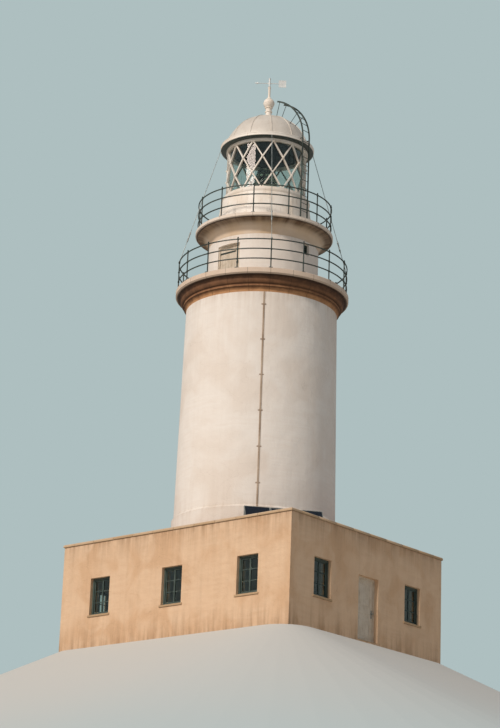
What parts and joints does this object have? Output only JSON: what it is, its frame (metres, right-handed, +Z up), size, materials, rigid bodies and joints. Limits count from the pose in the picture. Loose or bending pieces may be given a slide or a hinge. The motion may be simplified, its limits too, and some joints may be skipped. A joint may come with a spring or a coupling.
{
  "type": "lighthouse",
  "caption": "Round white lighthouse with two galleries and a glazed diagonal-bar lantern, rising from a flat-roofed keeper's house.",
  "frame": {"origin": "on the tower's axis at ground level", "axes": "+Z up along the tower's axis, -Y out of the house's front wall, X along that wall"},
  "size_m": [8.48, 10.28, 22],
  "materials": {
    "white_render": "matte",
    "brown_stone": "matte",
    "deck_stone": "matte",
    "house_render": "matte",
    "floor_tile": "matte",
    "white_paint": "satin",
    "dark_paint": "satin",
    "galvanised": "satin",
    "door_paint": "satin",
    "window_paint": "satin",
    "clear_glass": "gloss",
    "lens_glass": "gloss",
    "solar_glass": "gloss"
  },
  "bodies": {
    "tower": {"back_wall": "house_render", "ball_and_mast": "white_paint", "base_front_piers": "white_render", "base_over_door": "white_render", "base_wall_back": "white_render", "base_wall_left": "white_render", "base_wall_right": "white_render", "conductor": "galvanised", "coping": "deck_stone", "dome": "white_paint", "dome_ladder": "dark_paint", "eave_ring": "dark_paint", "entrance_door": "door_paint", "front_wall": "house_render", "house_floor": "floor_tile", "lantern_glass": "clear_glass", "lantern_lattice": "white_paint", "left_wall": "house_render", "lower_cornice": "brown_stone", "lower_deck": "deck_stone", "lower_railing": "dark_paint", "murette": "white_paint", "optic_lens": "lens_glass", "optic_pedestal": "dark_paint", "right_wall": "house_render", "roof_slab": "floor_tile", "shaft_wall_back": "white_render", "shaft_wall_front": "white_render", "shaft_wall_left": "white_render", "shaft_wall_right": "white_render", "solar_panels": "solar_glass", "solar_stand": "galvanised", "stays": "galvanised", "tower_floor": "floor_tile", "upper_cornice": "white_render", "upper_deck": "deck_stone", "upper_railing": "dark_paint", "watch_door": "door_paint", "watch_wall_back": "white_render", "watch_wall_front": "white_render", "watch_wall_left": "white_render", "watch_wall_right": "white_render", "window_frames": "window_paint", "window_panes": "clear_glass"},
    "weathervane": {"vane": "galvanised"}
  },
  "joints": [
    {"name": "vane_turn", "type": "hinge", "parent": "tower", "child": "weathervane", "pos_m": [0, 0, 21.79], "axis": [0, 0, 1], "continuous": true}
  ]
}
